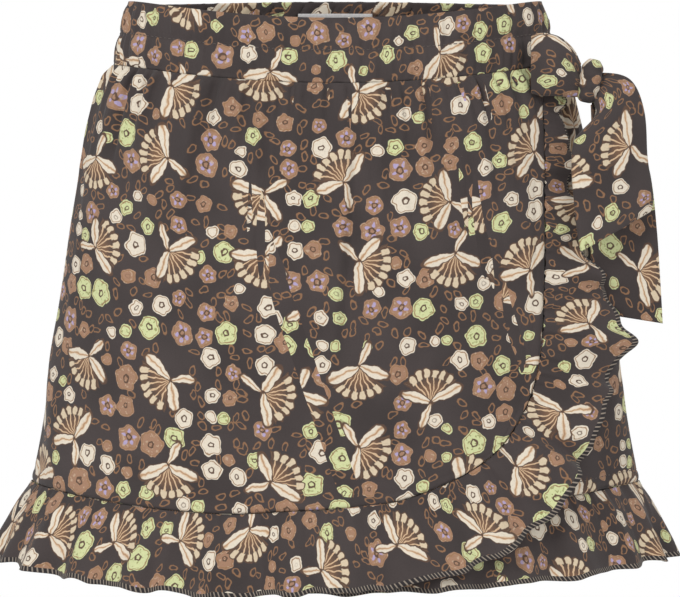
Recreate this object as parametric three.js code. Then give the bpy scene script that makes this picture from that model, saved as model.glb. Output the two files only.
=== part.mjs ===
// A child's wrap-look skort: a gathered waistband, a front overlap panel with a curved ruffle edge, an
// underlap panel, a back panel, a ruffle all round the hem, a tied bow at the side and plain shorts inside.
// Millimetres, +Z up, front towards -Y. The origin is the middle of the waist, level with the band's top
// edge at the sides. Every wall is one layer of cloth unless its own thickness is named.
import * as THREE from 'three';

// Driving dimensions
const CLOTH = 1.2;
const SEAM_GAP = 0.3;
const DEPTH_PER_WIDTH = 0.5;
const BAND_HEIGHT = 32;
const BAND_THICK = 3;
const BAND_PROUD = 0.4;
const HEM_LEVEL = -242;
const FRONT_DIP = 12.5;
const BACK_RISE = 5;
const BACK_HEM_DIP = 8;
const RUFFLE_WIDTH = 38;
const RUFFLE_WAVE = 4;
const RUFFLE_WAVE_PITCH = 15;
const LAYER_STEP = 1.7;

// Half the garment's width at each level, seen from the front
const SILHOUETTE = [
  { level: 8, halfWidth: 103 },
  { level: 0, halfWidth: 105 },
  { level: -16, halfWidth: 109.5 },
  { level: -31, halfWidth: 112 },
  { level: -38, halfWidth: 117 },
  { level: -49, halfWidth: 121.7 },
  { level: -65, halfWidth: 125.7 },
  { level: -83, halfWidth: 129.3 },
  { level: -115, halfWidth: 134.4 },
  { level: -151, halfWidth: 139.4 },
  { level: -188, halfWidth: 144.5 },
  { level: -213, halfWidth: 148 },
  { level: -242, halfWidth: 153.5 },
  { level: -252, halfWidth: 159.5 },
  { level: -262, halfWidth: 164 },
  { level: -271, halfWidth: 168 },
  { level: -281, halfWidth: 172 },
  { level: -295, halfWidth: 177 },
];

// The overlap's edge, from the left side seam along the hem, round the corner and up to the waistband,
// with the width of the ruffle sewn to it and how far that ruffle's free edge stands off the cloth below.
// Angles are degrees round the waist from the wearer's left, viewer's right, side.
const OVERLAP_EDGE = [
  { angle: 180, level: -242, width: 38, lift: 0.5 },
  { angle: 160, level: -242.5, width: 38, lift: 0.5 },
  { angle: 140, level: -243.5, width: 38, lift: 1 },
  { angle: 125, level: -244, width: 38, lift: 2 },
  { angle: 110, level: -243.5, width: 39, lift: 2.5 },
  { angle: 99, level: -241, width: 39, lift: 3 },
  { angle: 88, level: -239, width: 39, lift: 4 },
  { angle: 79, level: -236.5, width: 39, lift: 5 },
  { angle: 70, level: -230, width: 39, lift: 6 },
  { angle: 63, level: -223, width: 38, lift: 8 },
  { angle: 57, level: -214, width: 37, lift: 10 },
  { angle: 52, level: -202, width: 36, lift: 12 },
  { angle: 48, level: -189, width: 32, lift: 14 },
  { angle: 45, level: -173, width: 37, lift: 17 },
  { angle: 43, level: -156, width: 38, lift: 17 },
  { angle: 41.5, level: -139, width: 31, lift: 12 },
  { angle: 40, level: -122, width: 20, lift: 7 },
  { angle: 38, level: -98, width: 14, lift: 5 },
  { angle: 35.5, level: -74, width: 12, lift: 5 },
  { angle: 32, level: -50, width: 9, lift: 3 },
  { angle: 27, level: -32.6, width: 6, lift: 1.5 },
];
const OVERLAP_CORNER_ROW = 10;

// The underlap's hem, from the right side seam to the free end that the overlap covers
const UNDERLAP_END_ANGLE = 109;
const UNDERLAP_BLEND_FROM = 6;
const UNDERLAP_BLEND_TO = 22;

// One half of the shorts: level, middle and half width across, half depth, of the ring round the leg.
// Above the crotch level the ring is open towards the middle of the body.
const SHORTS_HALF = [
  { level: -32.6, middle: 0, halfDepth: 52.8, outer: 108.9 },
  { level: -60, middle: 0, halfDepth: 54.5, outer: 115 },
  { level: -100, middle: 5, halfDepth: 56, outer: 121 },
  { level: -140, middle: 22, halfDepth: 56.5, outer: 125 },
  { level: -170, middle: 45, halfDepth: 55.5, outer: 128 },
  { level: -196, middle: 65, halfDepth: 54, outer: 129.5 },
  { level: -215, middle: 67, halfDepth: 53.5, outer: 131 },
  { level: -234, middle: 69, halfDepth: 53, outer: 132.5 },
];

// The tie, seen from the front: the middle line of each stretch, its width and how flat it lies
const TIE_WALL = 1.2;
const LOOP_LEFT = [
  { x: 120.6, y: -36.5, z: -42.5, width: 11, swell: 1.6 },
  { x: 116, y: -39, z: -38, width: 19, swell: 3.6 },
  { x: 108.5, y: -40, z: -35.5, width: 25, swell: 5 },
  { x: 101.5, y: -38, z: -34.5, width: 27, swell: 4 },
  { x: 98, y: -36.5, z: -34.5, width: 24, swell: 2 },
];
const LOOP_RIGHT = [
  { x: 131, y: -37, z: -46.5, width: 11, swell: 1.6, turn: 70 },
  { x: 136.5, y: -41, z: -53, width: 22, swell: 3, turn: 42 },
  { x: 135, y: -43, z: -66, width: 35, swell: 4, turn: 20 },
  { x: 135.5, y: -43.5, z: -83, width: 39, swell: 4, turn: 9 },
  { x: 137.5, y: -43.5, z: -101, width: 41, swell: 3.4, turn: 14 },
  { x: 138.5, y: -43.5, z: -113, width: 42, swell: 2.4, turn: 26 },
  { x: 138.5, y: -43.5, z: -117, width: 41, swell: 1.5, turn: 30 },
];
const TIE_END = [
  { x: 130.2, y: -34.5, z: -51, width: 10, swell: 0, turn: 45 },
  { x: 137.5, y: -33.5, z: -69, width: 24, swell: 0, turn: 22 },
  { x: 140.5, y: -33, z: -89, width: 33, swell: 0, turn: 9 },
  { x: 143, y: -32, z: -114, width: 35, swell: 0, turn: -2 },
  { x: 145, y: -31, z: -139, width: 35, swell: 0, turn: -6 },
  { x: 146, y: -30, z: -160, width: 36, swell: 0, turn: -9 },
];
const TIE_STRAP = [
  { x: 105.2, y: -25, z: -29, width: 14, swell: 0 },
  { x: 112.5, y: -30, z: -36, width: 12, swell: 0 },
  { x: 120.3, y: -33.6, z: -43, width: 9, swell: 0 },
];
const KNOT = { x: 126.4, y: -36, z: -43, halfWidth: 4.8, halfDepth: 6.5, halfHeight: 10.5, lean: 12 };

const LABEL = { halfWidth: 19.5, height: 24, thick: 1, below: 6 };

const radians = THREE.MathUtils.degToRad;

// Smooth value of every named column of a table at distance `along` of its `key` column
function smoothRow(table, key, along) {
  const rising = table[table.length - 1][key] > table[0][key];
  let row = table.findIndex((next, i) => i > 0 && (rising ? along <= next[key] : along >= next[key]));
  if (row < 1) row = along === table[0][key] ? 1 : table.length - 1;
  const from = table[row - 1];
  const to = table[row];
  const before = table[Math.max(row - 2, 0)];
  const after = table[Math.min(row + 1, table.length - 1)];
  const t = THREE.MathUtils.clamp((along - from[key]) / (to[key] - from[key]), 0, 1);
  const blended = {};
  for (const column of Object.keys(from)) {
    const [p, q, r, s] = [before[column], from[column], to[column], after[column]];
    const slopeIn = (r - p) / 2;
    const slopeOut = (s - q) / 2;
    const t2 = t * t;
    const t3 = t2 * t;
    blended[column] = q * (2 * t3 - 3 * t2 + 1) + slopeIn * (t3 - 2 * t2 + t)
      + r * (3 * t2 - 2 * t3) + slopeOut * (t3 - t2);
  }
  return blended;
}

// Adds the distance run along a table's rows, as column `run`
function withRun(table, distance) {
  let run = 0;
  return table.map((row, i) => {
    if (i > 0) run += distance(table[i - 1], row);
    return { ...row, run };
  });
}

function halfWidthAt(level) {
  return smoothRow(SILHOUETTE, 'level', THREE.MathUtils.clamp(level, -295, 8)).halfWidth;
}

// How far the cloth at an angle hangs below its level: the front dips, the back waist rises
function dipAt(angle, level) {
  const facing = Math.sin(radians(angle));
  if (facing >= 0) return FRONT_DIP * facing * facing;
  const down = THREE.MathUtils.clamp(level / HEM_LEVEL, 0, 1);
  return THREE.MathUtils.lerp(-BACK_RISE, BACK_HEM_DIP, down) * facing * facing;
}

// The waves of the hem ruffles, shared by every layer so that layers nest
function hemWave(angle, level) {
  const below = THREE.MathUtils.clamp((HEM_LEVEL - 3 - level) / RUFFLE_WIDTH, 0, 1.2);
  const turn = (angle * 2.25) / RUFFLE_WAVE_PITCH;
  const wave = Math.sin(turn * Math.PI) * 0.75 + Math.sin(turn * Math.PI * 0.62 + 1.3) * 0.45;
  return RUFFLE_WAVE * below * wave;
}

// A point of the garment's outside at an angle and level, moved `out` along the wall's normal
function skin(angle, level, out) {
  const around = radians(angle);
  const halfWidth = halfWidthAt(level);
  const halfDepth = halfWidth * DEPTH_PER_WIDTH;
  const away = out + hemWave(angle, level);
  const normal = new THREE.Vector2(Math.cos(around) / halfWidth, -Math.sin(around) / halfDepth).normalize();
  return new THREE.Vector3(
    halfWidth * Math.cos(around) + normal.x * away,
    -halfDepth * Math.sin(around) + normal.y * away,
    level - dipAt(angle, level),
  );
}

// Millimetres of cloth for one degree round the body
function perDegree(angle, level) {
  const halfWidth = halfWidthAt(level);
  const across = halfWidth * Math.sin(radians(angle));
  const deep = halfWidth * DEPTH_PER_WIDTH * Math.cos(radians(angle));
  return radians(Math.hypot(across, deep));
}

// A closed body from two faces of one wall: place(u, v, inside) gives the point, u and v from 0 to 1.
// A wall that closes on itself round u has no end faces.
function wall(columns, rows, place, closed = false) {
  const points = [];
  for (const inside of [false, true]) {
    for (let j = 0; j <= rows; j++) {
      for (let i = 0; i <= columns - (closed ? 1 : 0); i++) {
        points.push(place(i / columns, j / rows, inside));
      }
    }
  }
  const perRow = closed ? columns : columns + 1;
  const layer = perRow * (rows + 1);
  const at = (i, j, inside) => (inside ? layer : 0) + j * perRow + (closed ? i % columns : i);
  const faces = [];
  const quad = (a, b, c, d) => faces.push(a, b, c, a, c, d);
  for (let j = 0; j < rows; j++) {
    for (let i = 0; i < columns; i++) {
      quad(at(i, j, false), at(i + 1, j, false), at(i + 1, j + 1, false), at(i, j + 1, false));
      quad(at(i, j, true), at(i, j + 1, true), at(i + 1, j + 1, true), at(i + 1, j, true));
    }
  }
  for (let i = 0; i < columns; i++) {
    quad(at(i, 0, true), at(i + 1, 0, true), at(i + 1, 0, false), at(i, 0, false));
    quad(at(i, rows, false), at(i + 1, rows, false), at(i + 1, rows, true), at(i, rows, true));
  }
  if (!closed) {
    for (let j = 0; j < rows; j++) {
      quad(at(0, j, false), at(0, j + 1, false), at(0, j + 1, true), at(0, j, true));
      quad(at(columns, j, true), at(columns, j + 1, true), at(columns, j + 1, false), at(columns, j, false));
    }
  }
  return closedGeometry(points, faces);
}

// Turns points and faces into a geometry whose faces point out
function closedGeometry(points, faces) {
  let volume = 0;
  for (let k = 0; k < faces.length; k += 3) {
    const [a, b, c] = [points[faces[k]], points[faces[k + 1]], points[faces[k + 2]]];
    volume += a.dot(b.clone().cross(c));
  }
  if (volume < 0) {
    for (let k = 0; k < faces.length; k += 3) {
      [faces[k + 1], faces[k + 2]] = [faces[k + 2], faces[k + 1]];
    }
  }
  const geometry = new THREE.BufferGeometry();
  geometry.setAttribute('position', new THREE.Float32BufferAttribute(points.flatMap((p) => p.toArray()), 3));
  geometry.setIndex(faces);
  geometry.computeVertexNormals();
  return geometry;
}

// A wall on the skin between two angles and two levels, its outside `sunk` below the skin
function skinWall(columns, rows, { angles, topLevel, bottomLevel, sunk, thick }) {
  return wall(columns, rows, (u, v, inside) => {
    const angle = THREE.MathUtils.lerp(angles[0], angles[1], u);
    const level = THREE.MathUtils.lerp(topLevel, bottomLevel(angle), v);
    return skin(angle, level, -(sunk(angle) + (inside ? thick : 0)));
  });
}

// Degrees that leave half a seam gap at a side seam
const sideGap = (level) => SEAM_GAP / 2 / perDegree(0, level);

function bandGeometry(angles) {
  return skinWall(36, 2, {
    angles,
    topLevel: 0,
    bottomLevel: () => -BAND_HEIGHT,
    sunk: () => -BAND_PROUD,
    thick: BAND_THICK,
  });
}

function backPanelGeometry() {
  const gap = sideGap(-100);
  return skinWall(30, 7, {
    angles: [180 + gap, 360 - gap],
    topLevel: -BAND_HEIGHT - SEAM_GAP,
    bottomLevel: () => HEM_LEVEL,
    sunk: () => 0,
    thick: CLOTH,
  });
}

// The underlap lies one layer in, and comes out level with the skin at the right side seam
function underlapSunk(angle) {
  return LAYER_STEP * THREE.MathUtils.smoothstep(angle, UNDERLAP_BLEND_FROM, UNDERLAP_BLEND_TO);
}

function underlapGeometry() {
  return skinWall(22, 7, {
    angles: [sideGap(-100), UNDERLAP_END_ANGLE],
    topLevel: -BAND_HEIGHT - SEAM_GAP,
    bottomLevel: () => HEM_LEVEL,
    sunk: underlapSunk,
    thick: CLOTH,
  });
}

const overlapEdge = withRun(OVERLAP_EDGE, (from, to) => {
  const across = (to.angle - from.angle) * perDegree((from.angle + to.angle) / 2, from.level);
  return Math.hypot(across, to.level - from.level);
});
const cornerRun = overlapEdge[OVERLAP_CORNER_ROW].run;
const edgeRun = overlapEdge[overlapEdge.length - 1].run;

// The overlap panel: a patch between the side seam, the waistband, the hem and the curved edge
function overlapGeometry() {
  const top = -BAND_HEIGHT - SEAM_GAP;
  const left = 180 - sideGap(-100);
  const hemAt = (u) => smoothRow(overlapEdge, 'run', cornerRun * u);
  const edgeAt = (v) => smoothRow(overlapEdge, 'run', edgeRun - (edgeRun - cornerRun) * v);
  const corner = hemAt(1);
  const waistEnd = edgeAt(0);
  return wall(28, 9, (u, v, inside) => {
    const hem = hemAt(u);
    const edge = edgeAt(v);
    const waistAngle = THREE.MathUtils.lerp(left, waistEnd.angle, u);
    const sideLevel = THREE.MathUtils.lerp(top, HEM_LEVEL, v);
    const angle = (1 - v) * waistAngle + v * hem.angle + (1 - u) * left + u * edge.angle
      - ((1 - u) * (1 - v) * left + u * (1 - v) * waistEnd.angle + (1 - u) * v * left + u * v * corner.angle);
    const level = (1 - v) * top + v * hem.level + (1 - u) * sideLevel + u * edge.level
      - ((1 - u) * (1 - v) * top + u * (1 - v) * waistEnd.level + (1 - u) * v * HEM_LEVEL
        + u * v * corner.level);
    return skin(Math.min(angle, left), Math.min(level, top), inside ? -CLOTH : 0);
  });
}

// The ruffle on the overlap's edge: a strip that leaves the edge square to it and stands off the cloth
function overlapRuffleGeometry() {
  const left = 180 - sideGap(-260);
  const step = 1;
  return wall(104, 3, (u, v, inside) => {
    const run = edgeRun * u;
    const here = smoothRow(overlapEdge, 'run', run);
    const before = smoothRow(overlapEdge, 'run', Math.max(run - step, 0));
    const after = smoothRow(overlapEdge, 'run', Math.min(run + step, edgeRun));
    const scale = perDegree(here.angle, here.level);
    const along = new THREE.Vector2((after.angle - before.angle) * scale, after.level - before.level);
    along.normalize();
    const reach = SEAM_GAP + here.width * v;
    const angle = here.angle - (along.y * reach) / scale;
    const level = here.level + along.x * reach;
    const freeWave = 0.5 + 0.5 * Math.sin((run * Math.PI) / RUFFLE_WAVE_PITCH);
    const stand = here.lift * v * (0.75 + 0.5 * freeWave) + (inside ? -CLOTH : 0);
    return skin(Math.min(angle, left), Math.min(level, -BAND_HEIGHT - SEAM_GAP), stand);
  });
}

function hemRuffleGeometry(columns, angles, sunk) {
  return skinWall(columns, 3, {
    angles,
    topLevel: HEM_LEVEL - SEAM_GAP,
    bottomLevel: () => HEM_LEVEL - RUFFLE_WIDTH,
    sunk,
    thick: CLOTH,
  });
}

// One half of the shorts; side is 1 at the viewer's right and -1 at the left
function shortsGeometry(side) {
  const steps = SHORTS_HALF.length - 1;
  return wall(22, steps, (u, v, inside) => {
    const level = SHORTS_HALF[Math.round(v * steps)].level;
    const ring = smoothRow(SHORTS_HALF, 'level', level);
    const shrink = inside ? CLOTH : 0;
    const halfWidth = ring.outer - ring.middle;
    const inner = Math.min(Math.max(ring.middle - SEAM_GAP / 2, 0) / halfWidth, 0.99999);
    const seam = Math.acos(-inner);
    const turn = THREE.MathUtils.lerp(-seam, seam, u);
    const x = ring.middle + (halfWidth - shrink) * Math.cos(turn);
    const y = (ring.halfDepth - shrink) * Math.sin(turn);
    const dip = dipAt(y < 0 ? 90 : 270, level) * (y * y) / (ring.halfDepth * ring.halfDepth) * (1 - v);
    return new THREE.Vector3(side * Math.max(x, SEAM_GAP / 2), y, level - dip);
  });
}

// A flattened tube along a table of middle points: a loop of the tie, or with no swell one flat end
function tieGeometry(table, facing, open) {
  const rows = withRun(table, (from, to) => Math.hypot(to.x - from.x, to.y - from.y, to.z - from.z));
  const length = rows[rows.length - 1].run;
  const sides = open ? 4 : 10;
  const place = (u, v, inside) => {
    const row = smoothRow(rows, 'run', length * v);
    const lean = radians(row.turn ?? 90);
    const across = new THREE.Vector3(Math.cos(lean), facing, Math.sin(lean)).normalize();
    const out = new THREE.Vector3(0, -1, 0);
    const spot = new THREE.Vector3(row.x, row.y, row.z);
    if (open) {
      const off = (u - 0.5) * row.width;
      return spot.addScaledVector(across, off).addScaledVector(out, inside ? -TIE_WALL : 0);
    }
    const turn = u * 2 * Math.PI;
    const shrink = inside ? TIE_WALL : 0;
    return spot.addScaledVector(across, (row.width / 2 - shrink) * Math.cos(turn))
      .addScaledVector(out, (row.swell - shrink) * Math.sin(turn));
  };
  return wall(sides, 8, place, !open);
}

// The knot: a short drum of cloth wrapped round the ties, pinched in at its top and bottom
function knotGeometry() {
  const profile = [];
  const steps = 8;
  profile.push(new THREE.Vector2(0, -1));
  for (let i = 1; i < steps; i++) {
    const height = -1 + (2 * i) / steps;
    profile.push(new THREE.Vector2(Math.sqrt(1 - height ** 4), height));
  }
  profile.push(new THREE.Vector2(0, 1));
  const geometry = new THREE.LatheGeometry(profile, 14);
  geometry.rotateX(Math.PI / 2);
  geometry.scale(KNOT.halfWidth, KNOT.halfDepth, KNOT.halfHeight);
  geometry.rotateY(radians(KNOT.lean));
  return geometry;
}

function labelGeometry() {
  const reach = LABEL.halfWidth / perDegree(270, 0);
  return wall(6, 2, (u, v, inside) => {
    const angle = THREE.MathUtils.lerp(270 - reach, 270 + reach, u);
    const level = -LABEL.below - LABEL.height * v;
    return skin(angle, level, BAND_PROUD - BAND_THICK - SEAM_GAP - (inside ? LABEL.thick : 0));
  });
}

const CLOTH_COLOURS = { print: 0x433e41, plain: 0x4a4547, label: 0xc9c7c6 };

const skort = new THREE.Group();

function add(name, geometry, colour, { x = 0, y = 0, z = 0 } = {}) {
  const material = new THREE.MeshStandardMaterial({ color: colour, roughness: 0.85, metalness: 0 });
  const mesh = new THREE.Mesh(geometry, material);
  mesh.name = name;
  mesh.position.set(x, y, z);
  skort.add(mesh);
}

const bandGap = sideGap(-16);
const hemGap = sideGap(-260);
add('waistband_front', bandGeometry([bandGap, 180 - bandGap]), CLOTH_COLOURS.print);
add('waistband_back', bandGeometry([180 + bandGap, 360 - bandGap]), CLOTH_COLOURS.print);
add('label', labelGeometry(), CLOTH_COLOURS.label);
add('front_overlap', overlapGeometry(), CLOTH_COLOURS.print);
add('front_underlap', underlapGeometry(), CLOTH_COLOURS.print);
add('back_panel', backPanelGeometry(), CLOTH_COLOURS.print);
add('overlap_ruffle', overlapRuffleGeometry(), CLOTH_COLOURS.print);
add('underlap_ruffle', hemRuffleGeometry(42, [hemGap, UNDERLAP_END_ANGLE], underlapSunk), CLOTH_COLOURS.print);
add('back_ruffle', hemRuffleGeometry(62, [180 + hemGap, 360 - hemGap], () => 0), CLOTH_COLOURS.print);
add('tie_loop_left', tieGeometry(LOOP_LEFT, 0, false), CLOTH_COLOURS.print);
add('tie_loop_right', tieGeometry(LOOP_RIGHT, 0.3, false), CLOTH_COLOURS.print);
add('tie_end', tieGeometry(TIE_END, 0.2, true), CLOTH_COLOURS.print);
add('tie_strap', tieGeometry(TIE_STRAP, 0, true), CLOTH_COLOURS.print);
add('tie_knot', knotGeometry(), CLOTH_COLOURS.print, KNOT);
add('shorts_left', shortsGeometry(-1), CLOTH_COLOURS.plain);
add('shorts_right', shortsGeometry(1), CLOTH_COLOURS.plain);

export default skort;
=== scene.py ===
"""Looks of a child's wrap-look skort: printed cloth shells, gathers, ruffles, a side bow and plain shorts."""
import math

import bpy
import numpy as np
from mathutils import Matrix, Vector


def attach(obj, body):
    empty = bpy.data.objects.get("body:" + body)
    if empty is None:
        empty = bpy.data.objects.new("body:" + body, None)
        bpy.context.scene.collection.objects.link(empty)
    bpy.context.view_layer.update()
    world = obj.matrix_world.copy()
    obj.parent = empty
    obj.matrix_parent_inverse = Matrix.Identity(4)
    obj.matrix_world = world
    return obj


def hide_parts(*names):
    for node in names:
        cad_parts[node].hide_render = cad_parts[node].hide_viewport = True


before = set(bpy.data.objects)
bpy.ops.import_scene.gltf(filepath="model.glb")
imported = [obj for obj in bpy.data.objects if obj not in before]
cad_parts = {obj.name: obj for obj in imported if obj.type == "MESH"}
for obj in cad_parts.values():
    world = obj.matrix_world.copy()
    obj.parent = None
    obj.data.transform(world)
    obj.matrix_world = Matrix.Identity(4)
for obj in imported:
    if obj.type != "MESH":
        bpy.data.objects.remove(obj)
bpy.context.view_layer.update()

# Sizes in millimetres, as the solids have them
DEPTH_PER_WIDTH = 0.5
BAND_HEIGHT = 32.0
BAND_PROUD = 0.4
HEM_LEVEL = -242.0
FRONT_DIP = 12.5
BACK_RISE = 5.0
BACK_HEM_DIP = 8.0
RUFFLE_WIDTH = 38.0
RUFFLE_WAVE = 4.0
RUFFLE_WAVE_PITCH = 15.0
LAYER_STEP = 1.7
SEAM_GAP = 0.3
CLOTH = 0.7
BAND_CLOTH = 2.4
TIE_CLOTH = 0.8
LABEL_CLOTH = 0.8
HEM_ROW = 6.0
RUFFLE_FULLNESS = 1.45

# Angles in degrees where the pieces start and end
FRONT = (0.07, 179.93)
BACK = (180.07, 359.93)
LEFT_SEAM = 179.95
UNDERLAP = (0.07, 109.0)

# Relief in millimetres
GATHER_DEPTH = 2.3
SLACK_DEPTH = 1.5
CREASE_SCALE = 1.5
BAND_SWELL = 1.1
OVERLAP_SEED, UNDERLAP_SEED, BACK_SEED = 0.4, 2.3, 4.2
BAND_FRONT_SEED, BAND_BACK_SEED = 0.3, 1.9

SILHOUETTE = [  # level, half width
    (8, 103), (0, 105), (-16, 109.5), (-31, 112), (-38, 117), (-49, 121.7), (-65, 125.7), (-83, 129.3),
    (-115, 134.4), (-151, 139.4), (-188, 144.5), (-213, 148), (-242, 153.5), (-252, 159.5), (-262, 164),
    (-271, 168), (-281, 172), (-295, 177)]

OVERLAP_EDGE = [  # angle, level, ruffle width, ruffle lift
    (180, -242, 38, 0.5), (160, -242.5, 38, 0.5), (140, -243.5, 38, 1), (125, -244, 38, 2),
    (110, -243.5, 39, 2.5), (99, -241, 39, 3), (88, -239, 39, 4), (79, -236.5, 39, 5), (70, -230, 39, 6),
    (63, -223, 38, 8), (57, -214, 37, 10), (52, -202, 36, 12), (48, -189, 32, 14), (45, -173, 37, 17),
    (43, -156, 38, 17), (41.5, -139, 31, 12), (40, -122, 20, 7), (38, -98, 14, 5), (35.5, -74, 12, 5),
    (32, -50, 9, 3), (27, -32.6, 6, 1.5)]
CORNER_ROW = 10


def dense(table, key):
    """A table's rows drawn out into a fine smooth curve, keyed by its column `key`, rising."""
    rows = np.array(table, float)
    key_values = rows[:, key] if isinstance(key, int) else key
    fine_key, fine = [], []
    for i in range(len(rows) - 1):
        before, a, b, after = rows[max(i - 1, 0)], rows[i], rows[i + 1], rows[min(i + 2, len(rows) - 1)]
        for t in np.linspace(0, 1, 24, endpoint=False):
            fine_key.append(key_values[i] + (key_values[i + 1] - key_values[i]) * t)
            fine.append(a * (2 * t**3 - 3 * t**2 + 1) + (b - before) / 2 * (t**3 - 2 * t**2 + t)
                        + b * (3 * t**2 - 2 * t**3) + (after - a) / 2 * (t**3 - t**2))
    fine_key.append(key_values[-1])
    fine.append(rows[-1])
    fine_key, fine = np.array(fine_key), np.array(fine)
    order = np.argsort(fine_key, kind="stable")
    return fine_key[order], fine[order]


SIL_KEY, SIL = dense(SILHOUETTE, 0)


def half_width_at(level):
    return np.interp(level, SIL_KEY, SIL[:, 1])


def smoothstep(x, low, high):
    t = np.clip((x - low) / (high - low), 0, 1)
    return t * t * (3 - 2 * t)


def dip_at(angle, level):
    facing = np.sin(np.radians(angle))
    down = np.clip(level / HEM_LEVEL, 0, 1)
    back = -BACK_RISE + (BACK_HEM_DIP + BACK_RISE) * down
    return np.where(facing >= 0, FRONT_DIP, back) * facing**2


def hem_wave(angle, level):
    below = np.clip((HEM_LEVEL - 3 - level) / RUFFLE_WIDTH, 0, 1.2)
    turn = angle * 2.25 / RUFFLE_WAVE_PITCH
    wave = np.sin(turn * np.pi) * 0.75 + np.sin(turn * np.pi * 0.62 + 1.3) * 0.45
    return RUFFLE_WAVE * below * wave


def skin(angle, level, out):
    around = np.radians(angle)
    wide = half_width_at(level)
    deep = wide * DEPTH_PER_WIDTH
    nx, ny = np.cos(around) / wide, -np.sin(around) / deep
    size = np.hypot(nx, ny)
    away = out + hem_wave(angle, level)
    return np.stack([wide * np.cos(around) + nx / size * away,
                     -deep * np.sin(around) + ny / size * away,
                     level - dip_at(angle, level)], -1)


def per_degree(angle, level):
    wide = half_width_at(level)
    across = wide * np.sin(np.radians(angle))
    deep = wide * DEPTH_PER_WIDTH * np.cos(np.radians(angle))
    return np.radians(np.hypot(across, deep))


def arc_from_front(angle, level):
    """Cloth run round the body from the centre front, in millimetres."""
    steps = np.linspace(0, 1, 25)
    total = np.zeros(np.broadcast(angle, level).shape)
    span = angle - 90.0
    for a, b in zip(steps[:-1], steps[1:]):
        total = total - span * (b - a) * per_degree(90.0 + span * (a + b) / 2, level)
    return total


def ripple(where, seed, pitch):
    """An uneven row of soft folds: about -1 to 1, a fold every `pitch` of `where`."""
    turn = 2 * np.pi * where / pitch
    return (0.55 * np.sin(turn + seed) + 0.30 * np.sin(turn * 0.57 + 2.1 * seed + 0.8 * np.sin(turn * 0.13))
            + 0.25 * np.sin(turn * 1.63 + 3.7 * seed))


def grid(columns, rows):
    u, v = np.meshgrid(np.linspace(0, 1, columns + 1), np.linspace(0, 1, rows + 1))
    return u, v


def selected_piece(name, mesh):
    piece = bpy.data.objects.new(name, mesh)
    bpy.context.scene.collection.objects.link(piece)
    bpy.ops.object.select_all(action="DESELECT")
    bpy.context.view_layer.objects.active = piece
    piece.select_set(True)
    return piece


def shell(name, points, flat, material, thick=CLOTH, closed=False, round_body=True, edged=0):
    """A cloth shell from a grid of points in millimetres and its flat cut, in millimetres, as the UV map.

    `round_body` faces it away from the body's axis, otherwise to the front; `edged` is how many rows at the
    free edge are overlocked.
    """
    rows, columns = points.shape[0] - 1, points.shape[1] - 1
    verts = (points / 1000.0).reshape(-1, 3)
    width = columns + 1
    faces = []
    for j in range(rows):
        for i in range(columns):
            faces.append((j * width + i, j * width + i + 1, (j + 1) * width + i + 1, (j + 1) * width + i))
    mesh = bpy.data.meshes.new(name)
    mesh.from_pydata(verts.tolist(), [], faces)
    uv = mesh.uv_layers.new(name="cloth")
    flat_uv = (flat / 1000.0).reshape(-1, 2)
    loops = np.zeros(len(mesh.loops), dtype=np.int64)
    mesh.loops.foreach_get("vertex_index", loops)
    uv.data.foreach_set("uv", flat_uv[loops].ravel())
    middle = points[rows // 2, columns // 2]
    normal = mesh.polygons[(rows // 2) * columns + columns // 2].normal
    outward = np.array([middle[0], middle[1], 0.0] if round_body else [0.0, -1.0, 0.0])
    if float(np.dot(outward, np.array(normal))) < 0:
        mesh.flip_normals()
    piece = selected_piece(name, mesh)
    if closed:
        weld = piece.modifiers.new("weld", "WELD")
        weld.merge_threshold = 0.00002
        bpy.ops.object.modifier_apply(modifier="weld")
    wall = piece.modifiers.new("wall", "SOLIDIFY")
    wall.thickness = thick / 1000.0
    wall.offset = -1
    bpy.ops.object.modifier_apply(modifier="wall")
    bpy.ops.object.shade_smooth()
    piece.data.materials.append(material)
    if edged:
        piece.data.materials.append(OVERLOCK)
        first_edge_face = (rows - edged) * columns
        for layer in range(2):
            for index in range(layer * rows * columns + first_edge_face, (layer + 1) * rows * columns):
                piece.data.polygons[index].material_index = 1
    return piece


# ---------------------------------------------------------------- materials

def srgb(code):
    values = [int(code[i:i + 2], 16) / 255 for i in (0, 2, 4)]
    return tuple(c / 12.92 if c <= 0.04045 else ((c + 0.055) / 1.055) ** 2.4 for c in values) + (1.0,)


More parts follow.
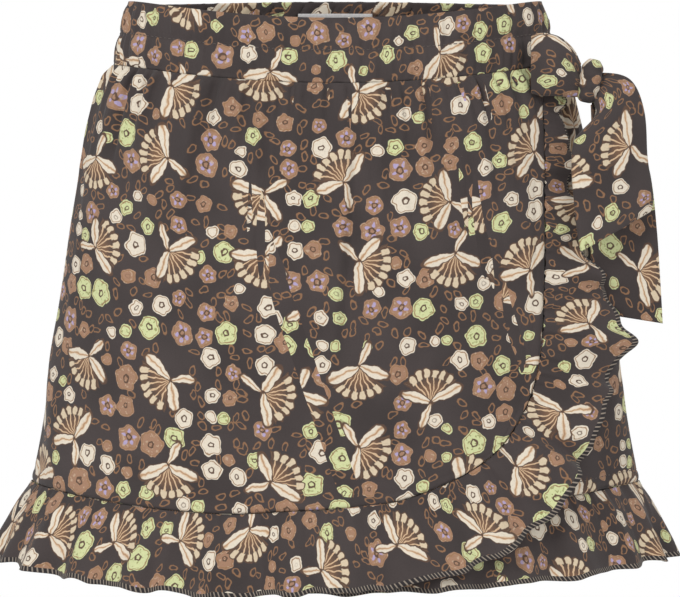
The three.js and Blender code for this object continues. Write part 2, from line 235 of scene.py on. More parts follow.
class Tree:
    """Short calls for adding nodes to one material."""

    def __init__(self, material):
        self.nodes = material.node_tree.nodes
        self.links = material.node_tree.links

    def put(self, socket, value):
        if isinstance(value, bpy.types.NodeSocket):
            self.links.new(value, socket)
        elif value is not None:
            socket.default_value = value

    def math(self, kind, a, b=None):
        node = self.nodes.new("ShaderNodeMath")
        node.operation = kind
        for socket, value in zip(node.inputs, (a, b)):
            self.put(socket, value)
        return node.outputs[0]

    def vec(self, kind, a, b=None, scale=None):
        node = self.nodes.new("ShaderNodeVectorMath")
        node.operation = kind
        self.put(node.inputs[0], a)
        self.put(node.inputs[1], b)
        self.put(node.inputs[3], scale)
        return node.outputs[1] if kind in ("LENGTH", "DISTANCE", "DOT_PRODUCT") else node.outputs[0]

    def split(self, vector):
        node = self.nodes.new("ShaderNodeSeparateXYZ")
        self.put(node.inputs[0], vector)
        return node.outputs[0], node.outputs[1]

    def join(self, x, y):
        node = self.nodes.new("ShaderNodeCombineXYZ")
        self.put(node.inputs[0], x)
        self.put(node.inputs[1], y)
        return node.outputs[0]

    def hash(self, colour):
        node = self.nodes.new("ShaderNodeSeparateColor")
        self.put(node.inputs[0], colour)
        return node.outputs

    def mix(self, amount, a, b):
        node = self.nodes.new("ShaderNodeMix")
        node.data_type = "RGBA"
        self.put(node.inputs[0], amount)
        self.put(node.inputs[6], a)
        self.put(node.inputs[7], b)
        return node.outputs[2]

    def step(self, value, low, high):
        node = self.nodes.new("ShaderNodeMapRange")
        node.interpolation_type = "SMOOTHSTEP"
        self.put(node.inputs["Value"], value)
        self.put(node.inputs["From Min"], low)
        self.put(node.inputs["From Max"], high)
        return node.outputs[0]

    def near(self, value, target):
        """How far a value lies from a target."""
        return self.math("ABSOLUTE", self.math("SUBTRACT", value, target))

    def cells(self, vector, pitch, randomness, feature="F1"):
        node = self.nodes.new("ShaderNodeTexVoronoi")
        node.voronoi_dimensions = "2D"
        node.feature = feature
        self.put(node.inputs["Vector"], vector)
        node.inputs["Scale"].default_value = 1.0 / pitch
        node.inputs["Randomness"].default_value = randomness
        return node.outputs

    def noise(self, vector, pitch, detail=2.0):
        node = self.nodes.new("ShaderNodeTexNoise")
        self.put(node.inputs["Vector"], vector)
        node.inputs["Scale"].default_value = 1.0 / pitch
        node.inputs["Detail"].default_value = detail
        return node.outputs

    def turned(self, vector, angle):
        x, y = self.split(vector)
        cos, sin = self.math("COSINE", angle), self.math("SINE", angle)
        across = self.math("ADD", self.math("MULTIPLY", x, cos), self.math("MULTIPLY", y, sin))
        up = self.math("SUBTRACT", self.math("MULTIPLY", y, cos), self.math("MULTIPLY", x, sin))
        return across, up

    def inside(self, distance, soft=0.12):
        """1 where a signed distance in millimetres is below 0."""
        return self.step(distance, soft, -soft)


OUTLINE = srgb("5d473a")
CREAM, TAN, LILAC, GREEN = srgb("ddd2c0"), srgb("a07c64"), srgb("ac9dc0"), srgb("cbd09c")
OLIVE, SAND = srgb("84834f"), srgb("cfb08e")

# The print, in millimetres
FAN_PITCH = 47.0
FAN_GROWTH = 1.22
FAN_RAYS = 11.0
FAN_ROOM_FOR_ROUNDS = 9.6
FAN_ROOM_FOR_SPRIGS = 12.5
ROUND_PITCH = 13.6
ROUND_SCATTER = 0.62
SPRIG_PITCH = 6.6
ROUND_RADII = (2.9, 7.3)
FULL_TURN = 6.283


def rounds(tree, where):
    """Round blooms and buds: the nearest one's offset, radius and random numbers at a place."""
    near = tree.cells(where, ROUND_PITCH, ROUND_SCATTER)
    room = tree.cells(where, ROUND_PITCH, ROUND_SCATTER, "N_SPHERE_RADIUS")["Radius"]
    centre = near["Position"]
    dice = tree.hash(near["Color"])
    share = tree.math("ADD", 0.72, tree.math("MULTIPLY", tree.step(dice[1], 0.15, 0.5), 0.34))
    radius = tree.math("MULTIPLY", tree.math("MULTIPLY", room, ROUND_PITCH), share)
    radius = tree.math("MAXIMUM", tree.math("MINIMUM", radius, ROUND_RADII[1]), ROUND_RADII[0])
    return centre, radius, dice


def fan_at(tree, where):
    near = tree.cells(where, FAN_PITCH, 0.5)
    return near["Position"], tree.hash(near["Color"])


def new_cloth(name):
    """A fresh material with its node helper, its shader and the cloth's flat cut in millimetres."""
    material = bpy.data.materials.new(name)
    material.use_nodes = True
    tree = Tree(material)
    uv_node = tree.nodes.new("ShaderNodeUVMap")
    uv_node.uv_map = "cloth"
    return material, tree, tree.nodes["Principled BSDF"], tree.vec("SCALE", uv_node.outputs[0], scale=1000.0)


def printed_cloth():
    """Dark woven cloth with an all-over print of small blooms, buds, fans and sprigs."""
    material, tree, shader, flat = new_cloth("printed_cloth")
    wobble = tree.noise(flat, 5.5)["Color"]
    offset = tree.vec("SCALE", tree.vec("SUBTRACT", wobble, (0.5, 0.5, 0.5)), scale=3.4)
    where = tree.vec("ADD", flat, offset)
    colour = tree.mix(tree.step(tree.noise(flat, 40.0)["Fac"], 0.3, 0.7), srgb("3c3534"), srgb("463e3d"))

    fan_centre, fan_dice = fan_at(tree, where)
    round_centre, radius, dice = rounds(tree, where)
    round_fan, _ = fan_at(tree, round_centre)
    round_free = tree.vec("DISTANCE", round_centre, round_fan)
    reach = tree.math("ADD", radius, FAN_ROOM_FOR_ROUNDS)
    round_kept = tree.math("GREATER_THAN", round_free, reach)

    # sprigs: little leaf outlines in the gaps
    sprig = tree.cells(where, SPRIG_PITCH, 0.75)
    sprig_centre = sprig["Position"]
    near_centre, near_radius, _ = rounds(tree, sprig_centre)
    clear = tree.math("SUBTRACT", tree.vec("DISTANCE", sprig_centre, near_centre), near_radius)
    sprig_fan, _ = fan_at(tree, sprig_centre)
    fan_clear = tree.vec("DISTANCE", sprig_centre, sprig_fan)
    sprig_kept = tree.math("MULTIPLY", tree.math("GREATER_THAN", clear, 1.1),
                           tree.math("GREATER_THAN", fan_clear, FAN_ROOM_FOR_SPRIGS))
    sprig_dice = tree.hash(sprig["Color"])
    local = tree.vec("SUBTRACT", where, sprig_centre)
    x, y = tree.turned(local, tree.math("MULTIPLY", sprig_dice[0], FULL_TURN))
    leaf = tree.math("SUBTRACT", tree.vec("LENGTH", tree.join(x, tree.math("MULTIPLY", y, 0.55))), 1.25)
    line = tree.math("SUBTRACT", tree.math("ABSOLUTE", leaf), 0.26)
    colour = tree.mix(tree.math("MULTIPLY", tree.inside(line), sprig_kept), colour, srgb("8a674c"))

    # round blooms and buds
    local = tree.vec("SUBTRACT", where, round_centre)
    x, y = tree.turned(local, tree.math("MULTIPLY", dice[2], FULL_TURN))
    far = tree.vec("LENGTH", tree.join(x, y))
    angle = tree.math("ARCTAN2", y, x)
    petals = tree.math("COSINE", tree.math("MULTIPLY", angle, 5.0))
    big = tree.step(radius, 3.4, 4.2)
    wave = tree.math("MULTIPLY", tree.math("MULTIPLY", petals, 0.055), big)
    edge = tree.math("MULTIPLY", radius, tree.math("ADD", wave, 0.92))
    away = tree.math("SUBTRACT", far, edge)
    share = tree.math("DIVIDE", far, edge)
    kind = dice[0]  # below 0.30 green, then tan up to 0.74, the upper part with lilac, then cream
    base = tree.mix(tree.math("GREATER_THAN", kind, 0.30), GREEN, TAN)
    base = tree.mix(tree.math("GREATER_THAN", kind, 0.74), base, CREAM)
    lilac_here = tree.math("MULTIPLY", tree.math("GREATER_THAN", kind, 0.46),
                           tree.math("LESS_THAN", kind, 0.74))
    patch = tree.math("SUBTRACT", tree.near(share, 0.45),
                      tree.math("MULTIPLY", tree.math("ADD", petals, 0.25), 0.16))
    patch = tree.math("MULTIPLY", tree.step(patch, 0.04, -0.02), lilac_here)
    base = tree.mix(tree.math("MULTIPLY", patch, big), base, LILAC)
    marks = tree.noise(where, 1.5, 1.0)["Fac"]
    mark_colour = tree.mix(tree.math("LESS_THAN", kind, 0.30), srgb("bfa58d"), OLIVE)
    marked = tree.math("MULTIPLY", tree.step(marks, 0.60, 0.66), tree.math("LESS_THAN", kind, 0.74))
    base = tree.mix(tree.math("MULTIPLY", marked, 0.75), base, mark_colour)
    ring = tree.math("SUBTRACT", tree.near(share, 0.24), 0.07)
    base = tree.mix(tree.math("MULTIPLY", tree.step(ring, 0.03, -0.03), big), base, OUTLINE)
    rim = tree.math("SUBTRACT", tree.math("ABSOLUTE", tree.math("ADD", away, 0.75)), 0.22)
    base = tree.mix(tree.math("MULTIPLY", tree.inside(rim), 0.9), base, srgb("94714f"))
    colour = tree.mix(tree.math("MULTIPLY", tree.inside(away), round_kept), colour, base)

    # fans: rays with a fringe of buds above two or three slim leaves
    local = tree.vec("SCALE", tree.vec("SUBTRACT", where, fan_centre), scale=1 / FAN_GROWTH)
    x, y = tree.turned(local, tree.math("MULTIPLY", fan_dice[0], FULL_TURN))
    up = tree.math("ADD", y, 4.0)
    far = tree.vec("LENGTH", tree.join(x, up))
    angle = tree.math("ARCTAN2", x, up)
    lobe = tree.math("ABSOLUTE", tree.math("SINE", tree.math("MULTIPLY", angle, FAN_RAYS)))
    fan_edge = tree.math("ADD", tree.math("MULTIPLY", lobe, 1.1), 12.2)
    outer = tree.math("SUBTRACT", far, fan_edge)
    side = tree.math("MULTIPLY", tree.math("SUBTRACT", tree.math("ABSOLUTE", angle), 0.92), far)
    fan = tree.math("MAXIMUM", outer, side)
    ray = tree.math("MULTIPLY", tree.math("SUBTRACT", 1.0, lobe), far)
    fan_colour = tree.mix(tree.step(far, 4.0, 11.0), srgb("7a5c47"), srgb("4d413c"))
    fan_colour = tree.mix(tree.step(ray, 0.9, 0.45), fan_colour, SAND)
    fringe = tree.step(far, 9.3, 10.0)
    fan_colour = tree.mix(fringe, fan_colour, tree.mix(tree.step(lobe, 0.35, 0.6), OUTLINE, srgb("d2c0a4")))
    colour = tree.mix(tree.inside(tree.math("SUBTRACT", fan, 0.3)), colour, OUTLINE)
    colour = tree.mix(tree.inside(tree.math("ADD", fan, 0.25)), colour, fan_colour)
    for turn, shift, long, slim in ((1.25, 6.2, 6.6, 0.34), (-1.15, 6.6, 7.2, 0.32), (2.75, 5.6, 5.6, 0.30)):
        lx, ly = tree.turned(tree.join(x, up), turn)
        ly = tree.math("SUBTRACT", ly, shift)
        taper = tree.math("ADD", 1.0, tree.math("MULTIPLY", ly, 0.05))
        lx = tree.math("MULTIPLY", tree.math("DIVIDE", lx, taper), 1.0 / slim)
        leaf = tree.math("SUBTRACT", tree.vec("LENGTH", tree.join(lx, ly)), long)
        colour = tree.mix(tree.inside(tree.math("SUBTRACT", leaf, 0.5), 0.3), colour, OUTLINE)
        inner = tree.mix(tree.step(tree.math("ABSOLUTE", lx), 0.5, 2.2), SAND, CREAM)
        vein = tree.step(tree.math("ABSOLUTE", lx), 0.8, 0.4)
        inner = tree.mix(vein, inner, srgb("b08c6c"))
        colour = tree.mix(tree.inside(tree.math("ADD", leaf, 0.7), 0.3), colour, inner)

    grain = tree.noise(flat, 0.9, 1.0)["Fac"]
    colour = tree.mix(tree.math("MULTIPLY", tree.step(grain, 0.45, 0.75), 0.10), colour, srgb("221f20"))
    tree.put(shader.inputs["Base Color"], colour)
    finish_cloth(tree, shader, flat)
    return material


def finish_cloth(tree, shader, flat):
    """Weave bump and matt finish shared by every cloth."""
    x, y = tree.split(flat)
    thread = tree.math("MULTIPLY", tree.math("SINE", tree.math("MULTIPLY", x, 15.0)),
                       tree.math("SINE", tree.math("MULTIPLY", y, 15.0)))
    crumple = tree.noise(flat, 9.0, 3.0)["Fac"]
    height = tree.math("ADD", tree.math("MULTIPLY", thread, 0.04), tree.math("MULTIPLY", crumple, 0.9))
    bump = tree.nodes.new("ShaderNodeBump")
    bump.inputs["Strength"].default_value = 0.35
    bump.inputs["Distance"].default_value = 0.0012
    tree.put(bump.inputs["Height"], height)
    tree.put(shader.inputs["Normal"], bump.outputs[0])
    shader.inputs["Roughness"].default_value = 0.82
    shader.inputs["Specular IOR Level"].default_value = 0.25
    shader.inputs["Sheen Weight"].default_value = 0.12
    shader.inputs["Sheen Roughness"].default_value = 0.5


def plain_cloth(name, code, other):
    """One-colour cloth with a faint fleck of a second colour."""
    material, tree, shader, flat = new_cloth(name)
    fleck = tree.noise(flat, 1.2, 2.0)["Fac"]
    tree.put(shader.inputs["Base Color"], tree.mix(tree.step(fleck, 0.35, 0.65), srgb(code), srgb(other)))
    finish_cloth(tree, shader, flat)
    return material


PRINT = printed_cloth()
PLAIN = plain_cloth("shorts_jersey", "474245", "3c383b")
TAPE = plain_cloth("label_tape", "c9c7c6", "bdbbba")
THREAD = plain_cloth("sewing_thread", "6d625c", "4a4341")


def overlock_thread():
    """Close edge stitching: dark thread with a paler one that shows as a row of small slanted dots."""
    material, tree, shader, flat = new_cloth("overlock_thread")
    x, y = tree.split(flat)
    slant = tree.math("ADD", tree.math("MULTIPLY", x, 3.1), tree.math("MULTIPLY", y, 1.4))
    dots = tree.step(tree.math("SINE", slant), 0.35, 0.75)
    tree.put(shader.inputs["Base Color"], tree.mix(dots, srgb("2c2829"), srgb("8d8276")))
    finish_cloth(tree, shader, flat)
    return material


OVERLOCK = overlock_thread()


# ---------------------------------------------------------------- the cloth pieces

def band_gather(run, seed):
    return ripple(run, seed, 8.5) + 0.5 * ripple(run, seed + 2, 4.1)


def band(name, low, high, seed):
    """Waistband: cloth folded over elastic, gathered in upright folds, stitched round its middle."""
    u, v = grid(420, 34)
    angle = low + (high - low) * u
    level = -BAND_HEIGHT * v
    run = arc_from_front(angle, level)
    gather = band_gather(run, seed)
    stitch_row = np.exp(-((v - 0.5) / 0.06) ** 2)
    edges = smoothstep(v, 0.0, 0.10) * smoothstep(1 - v, 0.0, 0.07)
    swell = (BAND_SWELL * np.sin(np.pi * np.clip(v * 2, 0, 1)) ** 2
             + BAND_SWELL * np.sin(np.pi * np.clip(v * 2 - 1, 0, 1)) ** 2)
    puff = (swell * 0.75 + gather * 0.65) * edges * (1 - 0.7 * stitch_row)
    out = BAND_PROUD - 0.6 + puff - 0.5 * stitch_row
    points = skin(angle, level, out)
    flat = np.stack([run * 1.12 + gather * 0.6, level], -1)
    return shell(name, points, flat, PRINT, thick=BAND_CLOTH)


def seam_fade(angle):
    """Nothing at the side seams and all of it a few degrees away, so sewn edges stay together."""
    return smoothstep(np.abs(np.sin(np.radians(angle))), 0.01, 0.14)


def panel_relief(angle, level, seed):
    """Gathers under the waistband that fade downward, long soft creases and a slack crumple."""
    run = arc_from_front(angle, level)
    drop = -BAND_HEIGHT - level
    reach = 26 + 22 * ripple(run, seed + 5, 61.0)
    fade = np.exp(-np.clip(drop, 0, None) / np.clip(reach, 12, 60))
    gather = (ripple(run * 134 / half_width_at(level), seed, 11.0)
              + 0.6 * ripple(run * 134 / half_width_at(level), seed + 3, 6.3)) * fade * GATHER_DEPTH
    settle = smoothstep(drop, 0, 5)
    slack = SLACK_DEPTH * ripple(run + 0.35 * level, seed + 1, 57.0) * smoothstep(drop, 10, 60)
    return (gather * (0.25 + 0.75 * settle) + slack) * seam_fade(angle)


CREASES = [  # angle at the top, angle at the foot, top level, foot level, depth, half width
    (121, 124, -36, -128, 1.5, 4.0), (84, 90, -40, -205, 1.5, 3.4), (55, 52, -40, -96, 1.1, 3.6),
    (150, 153, -44, -90, 1.3, 4.2), (103, 106, -34, -84, 0.9, 3.4), (70, 66, -34, -74, 0.9, 3.0),
    (134, 139, -120, -200, 0.7, 7.0), (72, 80, -150, -225, 0.7, 7.0),
    (232, 229, -36, -130, 1.4, 4.2), (262, 265, -36, -170, 1.3, 4.0), (296, 299, -36, -105, 1.2, 4.0),
    (322, 318, -40, -150, 1.2, 4.4), (208, 206, -44, -120, 1.2, 4.4)]


def creases(angle, level):
    """Listed soft creases, each a trough with a ridge beside it, fading out at both ends."""
    total = 0
    for top, foot, high, low, depth, half in CREASES:
        t = (high - level) / (high - low)
        middle = top + (foot - top) * t
        off = (angle - middle) * per_degree(angle, level)
        length = smoothstep(t, -0.05, 0.12) * smoothstep(1 - t, 0.0, 0.55)
        ridge = np.exp(-((off - 1.4 * half) / half) ** 2)
        trough = np.exp(-(off / half) ** 2)
        total = total + CREASE_SCALE * depth * length * (ridge - trough)
    return total


def topstitch(level, seam, depth=0.35):
    """The groove of the row of stitches 6 mm above a ruffle seam, and the roll between row and seam."""
    rise = level - seam
    return (-depth * np.exp(-((rise - HEM_ROW) / 0.8) ** 2) + 0.35 * np.exp(-((rise - 3.0) / 1.9) ** 2)
            - 0.5 * np.exp(-(rise / 0.9) ** 2))


def panel(name, low, high, sunk, seed, offset):
    u, v = grid(max(160, int(240 * (high - low) / 180)), 150)
    angle = low + (high - low) * u
    level = -BAND_HEIGHT - SEAM_GAP + (HEM_LEVEL + BAND_HEIGHT + SEAM_GAP) * v
    out = (-sunk(angle) + panel_relief(angle, level, seed) + creases(angle, level)
           + topstitch(level, HEM_LEVEL))
    points = skin(angle, level, out)
    flat = np.stack([arc_from_front(angle, level) + offset[0], level + offset[1]], -1)
    return shell(name, points, flat, PRINT)


edge_rows = np.array(OVERLAP_EDGE, float)
edge_step = np.hypot(np.diff(edge_rows[:, 0]) * per_degree((edge_rows[1:, 0] + edge_rows[:-1, 0]) / 2,
                                                            edge_rows[:-1, 1]), np.diff(edge_rows[:, 1]))
edge_run = np.concatenate([[0], np.cumsum(edge_step)])
EDGE_KEY, EDGE = dense(edge_rows, edge_run)
EDGE_END = edge_run[-1]
CORNER = edge_run[CORNER_ROW]


def edge_at(run):
    return [np.interp(run, EDGE_KEY, EDGE[:, c]) for c in range(4)]


def overlap_panel():
    """The outer wrap panel: a patch between side seam, waistband, hem and curved edge."""
    u, v = grid(240, 150)
    top, left = -BAND_HEIGHT - SEAM_GAP, LEFT_SEAM
    hem_angle, hem_level, _, _ = edge_at(CORNER * u)
    side_angle, side_level, _, _ = edge_at(EDGE_END - (EDGE_END - CORNER) * v)
    corner_angle, corner_level, _, _ = edge_at(CORNER)
    end_angle, end_level, _, _ = edge_at(EDGE_END)
    angle = ((1 - v) * (left + (end_angle - left) * u) + v * hem_angle + (1 - u) * left + u * side_angle
             - ((1 - u) * (1 - v) * left + u * (1 - v) * end_angle + (1 - u) * v * left
                + u * v * corner_angle))
    level = ((1 - v) * top + v * hem_level + (1 - u) * (top + (HEM_LEVEL - top) * v) + u * side_level
             - ((1 - u) * (1 - v) * top + u * (1 - v) * end_level + (1 - u) * v * HEM_LEVEL
                + u * v * corner_level))
    angle, level = np.minimum(angle, left), np.minimum(level, top)
    out = panel_relief(angle, level, OVERLAP_SEED) + creases(angle, level)
    lower = smoothstep(v, 0.05, 0.3)
    near_edge = np.minimum((1 - v) * 200, (1 - u) * 230 * lower + 400 * (1 - lower))
    out = out * smoothstep(near_edge, 0, 10) + topstitch(near_edge, 0.0)
    points = skin(angle, level, out)
    flat = np.stack([arc_from_front(angle, level), level], -1)
    return shell("front_overlap_cloth", points, flat, PRINT)


def ruffle_folds(run, v, seed):
    """Gathers of a ruffle: fine at the seam, opening into broad soft flutes at the free edge."""
    fine = ripple(run, seed, 6.5) * 0.8 * np.exp(-v / 0.28)
    broad = ripple(run + 2.5 * v, seed + 1.7, 17.0) * 1.9 * v ** 0.8
    return fine + broad


def overlap_ruffle():
    u, v = grid(800, 32)
    run = EDGE_END * u
    angle0, level0, width, lift = edge_at(run)
    angle1, level1, _, _ = edge_at(np.clip(run + 1, 0, EDGE_END))
    angle2, level2, _, _ = edge_at(np.clip(run - 1, 0, EDGE_END))
    scale = per_degree(angle0, level0)
    ax, al = (angle1 - angle2) * scale, level1 - level2
    size = np.hypot(ax, al)
    ax, al = ax / size, al / size
    sway = 1.6 * ripple(run, 5.1, 23.0) * v
    reach = SEAM_GAP + width * v * (1 + 0.03 * ripple(run, 2.2, 21.0))
    angle = np.minimum(angle0 - (al * reach - ax * sway) / scale, LEFT_SEAM)
    level = np.minimum(level0 + ax * reach + al * sway, -BAND_HEIGHT - SEAM_GAP)
    free = 0.5 + 0.5 * np.sin(run * np.pi / RUFFLE_WAVE_PITCH)
    side_part = smoothstep(run, CORNER - 60, CORNER + 20)
    folds = ruffle_folds(run, v, 1.1) * (1 + 0.9 * side_part)
    out = lift * v * (0.75 + 0.5 * free) + folds * np.clip(0.4 + lift * 0.2, 0, 1) + 0.9 * v
    points = skin(angle, level, out)
    flat = np.stack([run * RUFFLE_FULLNESS + 37, -reach - 300], -1)
    return shell("overlap_ruffle_cloth", points, flat, PRINT, edged=2)


def hem_ruffle(name, low, high, sunk, seed, columns, offset):
    u, v = grid(columns, 32)
    angle = low + (high - low) * u
    level = HEM_LEVEL - SEAM_GAP - (RUFFLE_WIDTH - SEAM_GAP) * v
    run = arc_from_front(angle, HEM_LEVEL)
    level = level - 1.2 * ripple(run, seed + 4, 33.0) * v
    out = -sunk(angle) + ruffle_folds(run, v, seed)
    points = skin(angle, level, out)
    flat = np.stack([run * RUFFLE_FULLNESS + offset, level * 1.03 - 400], -1)
    return shell(name, points, flat, PRINT, edged=2)


def underlap_sunk(angle):
    return LAYER_STEP * smoothstep(angle, 6.0, 22.0)


def on_skin(angle):
    return 0 * angle


SHORTS_HALF = [  # level, middle, half depth, outer
    (-32.6, 0, 52.8, 108.9), (-60, 0, 54.5, 115), (-100, 5, 56, 121), (-140, 22, 56.5, 125),
    (-170, 45, 55.5, 128), (-196, 65, 54, 129.5), (-215, 67, 53.5, 131), (-234, 69, 53, 132.5)]


def shorts(name, side):
    """One plain half of the shorts, from the waist seam to the leg hem."""
    rows = np.array(SHORTS_HALF, float)
    u, v = grid(96, 70)
    place = v * (len(rows) - 1)
    level, middle, deep, outer = [np.interp(place, range(len(rows)), rows[:, c]) for c in range(4)]
    half = outer - middle
    inner = np.clip(np.maximum(middle - SEAM_GAP / 2, 0) / half, 0, 0.99999)
    turn = np.arccos(-inner) * (2 * u - 1)
    x = np.maximum(middle + half * np.cos(turn), SEAM_GAP / 2)
    y = deep * np.sin(turn)
    dip = np.where(y < 0, FRONT_DIP, dip_at(270.0, level)) * (y / deep) ** 2 * (1 - v)
    points = np.stack([side * x, y, level - dip], -1)
    flat = np.stack([side * turn * (half + deep) / 2 + side * 300, level], -1)
    return shell(name, points, flat, PLAIN)


def label():
    u, v = grid(40, 24)
    reach = 19.5 / per_degree(270.0, 0.0)
    angle = 270 - reach + 2 * reach * u
    level = -6 - 24 * v
    points = skin(angle, level, BAND_PROUD - 3 - SEAM_GAP + 0 * u)
    flat = np.stack([39 * u, 24 * v], -1)
    return shell("label_tape_piece", points, flat, TAPE, thick=LABEL_CLOTH)


TIE_LOOP_LEFT = [  # x, y, z, width, swell, turn
    (121.2, -37, -42, 15, 2.2, 90), (117, -39.5, -38.5, 23, 4.6, 90), (110, -41, -35.5, 28, 6.6, 90),
    (102, -39.5, -34.5, 29.5, 6, 90), (97.5, -37.5, -34.5, 27, 3, 90)]
TIE_LOOP_RIGHT = [
    (130.5, -37.5, -45.5, 14, 2, 72), (137, -41, -51.5, 26, 3.4, 48), (135.6, -43, -64.5, 38, 4, 24),
    (135.5, -43.5, -83, 39, 4, 9), (137.5, -43.5, -101, 41, 3.4, 14), (138.5, -43.5, -113, 42, 2.4, 26),
    (138.5, -43.5, -117, 41, 1.5, 30)]
TIE_END = [
    (130.2, -34.5, -51, 10, 0, 45), (137.5, -33.5, -69, 24, 0, 22), (140.5, -33, -89, 33, 0, 9),
    (143, -32, -114, 35, 0, -2), (145, -31, -139, 35, 0, -6), (146, -30, -160, 36, 0, -9)]
TIE_STRAP = [(105.2, -25, -29, 14, 0, 90), (112.5, -30, -36, 12, 0, 90), (120.3, -33.6, -43, 9, 0, 90)]
KNOT_CENTRE = (126.2, -38.5, -42.6)
KNOT_SIZE = (5.5, 7.0, 11.4)
KNOT_LEAN = 12.0


def tie_piece(name, table, facing, open_strip, offset, columns=90, rows=80):
    """A stretch of the tie: a flattened tube for a loop, or one layer for an end, with lengthwise folds."""
    cells = np.array(table, float)
    run = np.concatenate([[0], np.cumsum(np.linalg.norm(np.diff(cells[:, :3], axis=0), axis=1))])
    key, fine = dense(cells, run)
    u, v = grid(columns, rows)
    x, y, z, width, swell, turn = [np.interp(v * run[-1], key, fine[:, c]) for c in range(6)]
    lean = np.radians(turn)
    across = np.stack([np.cos(lean), np.full_like(lean, facing), np.sin(lean)], -1)
    across = across / np.linalg.norm(across, axis=-1, keepdims=True)
    spot = np.stack([x, y, z], -1)
    pinch = np.exp(-v / 0.22)
    out = np.array([0.0, -1.0, 0.0])
    if open_strip:
        off = (u - 0.5) * width
        fold = 1.3 * np.sin(u * 4.5 * np.pi) * pinch + 0.5 * np.sin(u * 5 + v * 4)
        points = spot + across * off[..., None] + out * fold[..., None]
        flat = np.stack([(u - 0.5) * 38 + offset, -v * run[-1]], -1)
        return shell(name, points, flat, PRINT, thick=TIE_CLOTH, round_body=False)
    theta = u * 2 * np.pi
    soft = np.sign(np.sin(theta)) * np.abs(np.sin(theta)) ** 0.7
    fold = 0.8 * np.sin(theta * 7 + 1) * pinch + 0.4 * np.sin(theta * 3 + v * 5)
    points = (spot + across * ((width / 2) * np.cos(theta))[..., None]
              + out * (swell * soft + fold * np.clip(swell / 3, 0, 1))[..., None])
    flat = np.stack([np.cos(theta) * 20 + offset, -v * run[-1] + np.where(theta > np.pi, 90, 0)], -1)
    return shell(name, points, flat, PRINT, thick=TIE_CLOTH, closed=True)


def knot():
    """The knot: one turn of the tie wrapped tight, with the pleats of the squeezed cloth."""
    u, v = grid(150, 60)
    theta = u * 2 * np.pi
    height = -0.94 + 1.88 * v
    girth = (1 - height**4) ** 0.5 * (1 + 0.05 * np.sin(height * 13 + 1.2 * np.sin(theta)))
    x = KNOT_SIZE[0] * girth * np.cos(theta)
    y = KNOT_SIZE[1] * girth * np.sin(theta)
    z = KNOT_SIZE[2] * height + 0 * theta
    lean = math.radians(KNOT_LEAN)
    points = np.stack([KNOT_CENTRE[0] + x * math.cos(lean) + z * math.sin(lean), KNOT_CENTRE[1] + y,
                       KNOT_CENTRE[2] - x * math.sin(lean) + z * math.cos(lean)], -1)
    flat = np.stack([theta * 6 + 80, height * 16], -1)
    return shell("tie_knot_cloth", points, flat, PRINT, thick=TIE_CLOTH, closed=True, round_body=False)


STITCH = (0.95, 0.22, 0.18)  # half length, half width, half height
STITCH_PITCH = 2.7


def stitch_row(name, middles, along, out):
    """One row of stitches: a small rounded bar for each, lying on the cloth."""
    verts, faces = [], []
    ring = [(-1.0, 0.0, 0.0), (-0.7, 1.0, 0.0), (0.7, 1.0, 0.0), (1.0, 0.0, 0.0), (0.7, -1.0, 0.0),
            (-0.7, -1.0, 0.0), (-0.6, 0.0, 1.0), (0.6, 0.0, 1.0), (-0.6, 0.0, -1.0), (0.6, 0.0, -1.0)]
    bars = [(0, 6, 1), (1, 6, 7, 2), (2, 7, 3), (3, 7, 4), (4, 7, 6, 5), (5, 6, 0),
            (1, 8, 0), (2, 9, 8, 1), (3, 9, 2), (4, 9, 3), (5, 8, 9, 4), (0, 8, 5)]
    for middle, forward, up in zip(middles, along, out):
        start = len(verts)
        side = np.cross(up, forward)
        for a, b, c in ring:
            corner = middle + forward * a * STITCH[0] + side * b * STITCH[1] + up * c * STITCH[2]
            verts.append((corner / 1000).tolist())
        faces.extend([tuple(start + i for i in bar) for bar in bars])
    mesh = bpy.data.meshes.new(name)
    mesh.from_pydata(verts, [], faces)
    mesh.uv_layers.new(name="cloth")
    piece = selected_piece(name, mesh)
    bpy.ops.object.mode_set(mode="EDIT")
    bpy.ops.mesh.select_all(action="SELECT")
    bpy.ops.mesh.normals_make_consistent(inside=False)
    bpy.ops.object.mode_set(mode="OBJECT")
    bpy.ops.object.shade_smooth()
    piece.data.materials.append(THREAD)
    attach(piece, "root")
    return piece


def stitches_on_skin(name, low, high, level_of, out_of):
    """A stitch row round the body between two angles, at a level for each angle."""
    fine = np.linspace(low, high, 3000)
    level = level_of(fine)
    run = arc_from_front(fine, level)
    count = int(abs(run[-1] - run[0]) / STITCH_PITCH)
    angle = np.interp(np.linspace(run[-1], run[0], count), run[::-1], fine[::-1])
    level = level_of(angle)
    middle = skin(angle, level, out_of(angle, level) + 0.15)
    forward = skin(angle + 0.2, level_of(angle + 0.2), out_of(angle + 0.2, level) + 0.15) - middle
    forward /= np.linalg.norm(forward, axis=-1, keepdims=True)
    outward = skin(angle, level, out_of(angle, level) + 1.0) - middle
    outward -= forward * np.sum(outward * forward, -1, keepdims=True)
    outward /= np.linalg.norm(outward, axis=-1, keepdims=True)
    return stitch_row(name, middle, forward, outward)


def dress(piece, node):
    """Ties a finished piece to the body and hides its solid."""
    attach(piece, "root")
    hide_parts(node)


def band_out(angle, level, seed):
    run = arc_from_front(angle, level)
    gather = band_gather(run, seed)
    return BAND_PROUD - 0.6 - 0.5 + 0.3 * 0.65 * gather


def hem_row_out(seed):
    return lambda angle, level: (panel_relief(angle, level, seed) + creases(angle, level)
                                 + topstitch(level, HEM_LEVEL))


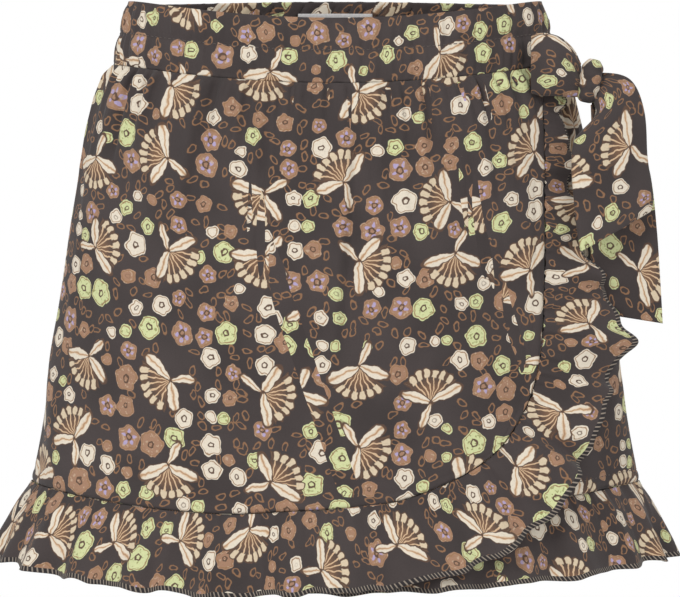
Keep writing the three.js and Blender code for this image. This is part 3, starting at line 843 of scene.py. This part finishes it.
def sew_stitches():
    for name, low, high, seed in (("waistband_front_stitches", 1, 179, BAND_FRONT_SEED),
                                  ("waistband_back_stitches", 181, 359, BAND_BACK_SEED)):
        stitches_on_skin(name, low, high, lambda a: -BAND_HEIGHT / 2 + 0 * a,
                         lambda a, level: band_out(a, level, seed))
    stitches_on_skin("back_hem_stitches", 181, 359, lambda a: HEM_LEVEL + HEM_ROW + 0 * a,
                     hem_row_out(BACK_SEED))
    stitches_on_skin("underlap_hem_stitches", 1, 60, lambda a: HEM_LEVEL + HEM_ROW + 0 * a,
                     lambda a, level: hem_row_out(UNDERLAP_SEED)(a, level) - underlap_sunk(a))


def build_skort():
    """Every cloth piece with its flat cut in metres, tied to the body, with its solid hidden."""
    dress(band("waistband_front_cloth", *FRONT, BAND_FRONT_SEED),
          "waistband_front")
    dress(band("waistband_back_cloth", *BACK, BAND_BACK_SEED),
          "waistband_back")
    dress(label(), "label")
    dress(overlap_panel(), "front_overlap")
    dress(panel("front_underlap_cloth", *UNDERLAP, underlap_sunk, UNDERLAP_SEED, (500, 60)),
          "front_underlap")
    dress(panel("back_panel_cloth", *BACK, on_skin, BACK_SEED, (0, 700)),
          "back_panel")
    dress(overlap_ruffle(), "overlap_ruffle")
    dress(hem_ruffle("underlap_ruffle_cloth", *UNDERLAP, underlap_sunk, 2.9, 440, 900),
          "underlap_ruffle")
    dress(hem_ruffle("back_ruffle_cloth", *BACK, on_skin, 0.6, 720, 1500),
          "back_ruffle")
    dress(tie_piece("tie_loop_left_cloth", TIE_LOOP_LEFT, 0.0, False, 40),
          "tie_loop_left")
    dress(tie_piece("tie_loop_right_cloth", TIE_LOOP_RIGHT, 0.3, False, 140),
          "tie_loop_right")
    dress(tie_piece("tie_end_cloth", TIE_END, 0.2, True, 240), "tie_end")
    dress(tie_piece("tie_strap_cloth", TIE_STRAP, 0.0, True, 340),
          "tie_strap")
    dress(knot(), "tie_knot")
    dress(shorts("shorts_left_cloth", -1), "shorts_left")
    dress(shorts("shorts_right_cloth", 1), "shorts_right")


build_skort()
sew_stitches()


# ---------------------------------------------------------------- floor, light and camera

MIDDLE_HEIGHT = -0.1503
CAMERA_DISTANCE = 1.6
VIEW_WIDTH = 0.3448
VIEW_CENTRE_X = 0.0025
FLOOR_SIZE = 1.1
FLOOR_LEVEL = -0.36
ROOM_LIGHT = 0.55
SENSOR_WIDTH = 36.0


def stage():
    bpy.ops.object.select_all(action="DESELECT")
    bpy.ops.mesh.primitive_plane_add(size=FLOOR_SIZE, location=(0, 0, FLOOR_LEVEL))
    floor = bpy.context.object
    floor.name = "floor"
    paint = bpy.data.materials.new("pale_floor")
    paint.use_nodes = True
    paint.node_tree.nodes["Principled BSDF"].inputs["Base Color"].default_value = srgb("eeeeee")
    paint.node_tree.nodes["Principled BSDF"].inputs["Roughness"].default_value = 0.9
    floor.data.materials.append(paint)
    world = bpy.data.worlds.new("studio")
    bpy.context.scene.world = world
    world.use_nodes = True
    nodes, links = world.node_tree.nodes, world.node_tree.links
    nodes.clear()
    room, backdrop = nodes.new("ShaderNodeBackground"), nodes.new("ShaderNodeBackground")
    room.inputs["Strength"].default_value = ROOM_LIGHT
    backdrop.inputs["Strength"].default_value = 1.0
    for background in (room, backdrop):
        background.inputs["Color"].default_value = (1, 1, 1, 1)
    path, mix = nodes.new("ShaderNodeLightPath"), nodes.new("ShaderNodeMixShader")
    output = nodes.new("ShaderNodeOutputWorld")
    links.new(path.outputs["Is Camera Ray"], mix.inputs[0])
    links.new(room.outputs[0], mix.inputs[1])
    links.new(backdrop.outputs[0], mix.inputs[2])
    links.new(mix.outputs[0], output.inputs[0])


LAMPS = [  # name, place, aimed at, size, watts
    ("key", (-1.1, -1.7, 0.9), (0, 0, -0.15), 0.9, 26.0),
    ("fill", (1.3, -1.5, 0.2), (0, 0, -0.15), 1.2, 9.0),
    ("rim", (0.2, 1.6, 0.9), (0, 0, -0.1), 1.0, 12.0)]


def lamps():
    for name, place, target, size, watts in LAMPS:
        lamp = bpy.data.lights.new(name, "AREA")
        lamp.size = size
        lamp.energy = watts
        holder = bpy.data.objects.new(name, lamp)
        holder.location = place
        holder.rotation_euler = (Vector(target) - Vector(place)).to_track_quat("-Z", "Y").to_euler()
        bpy.context.scene.collection.objects.link(holder)


def camera():
    lens = bpy.data.cameras.new("camera")
    lens.sensor_width = SENSOR_WIDTH
    lens.lens = SENSOR_WIDTH * CAMERA_DISTANCE / VIEW_WIDTH
    holder = bpy.data.objects.new("camera", lens)
    holder.location = (VIEW_CENTRE_X, -CAMERA_DISTANCE, MIDDLE_HEIGHT)
    holder.rotation_euler = (math.pi / 2, 0, 0)
    bpy.context.scene.collection.objects.link(holder)
    bpy.context.scene.camera = holder


stage()
lamps()
camera()
bpy.context.scene.view_settings.view_transform = "Standard"
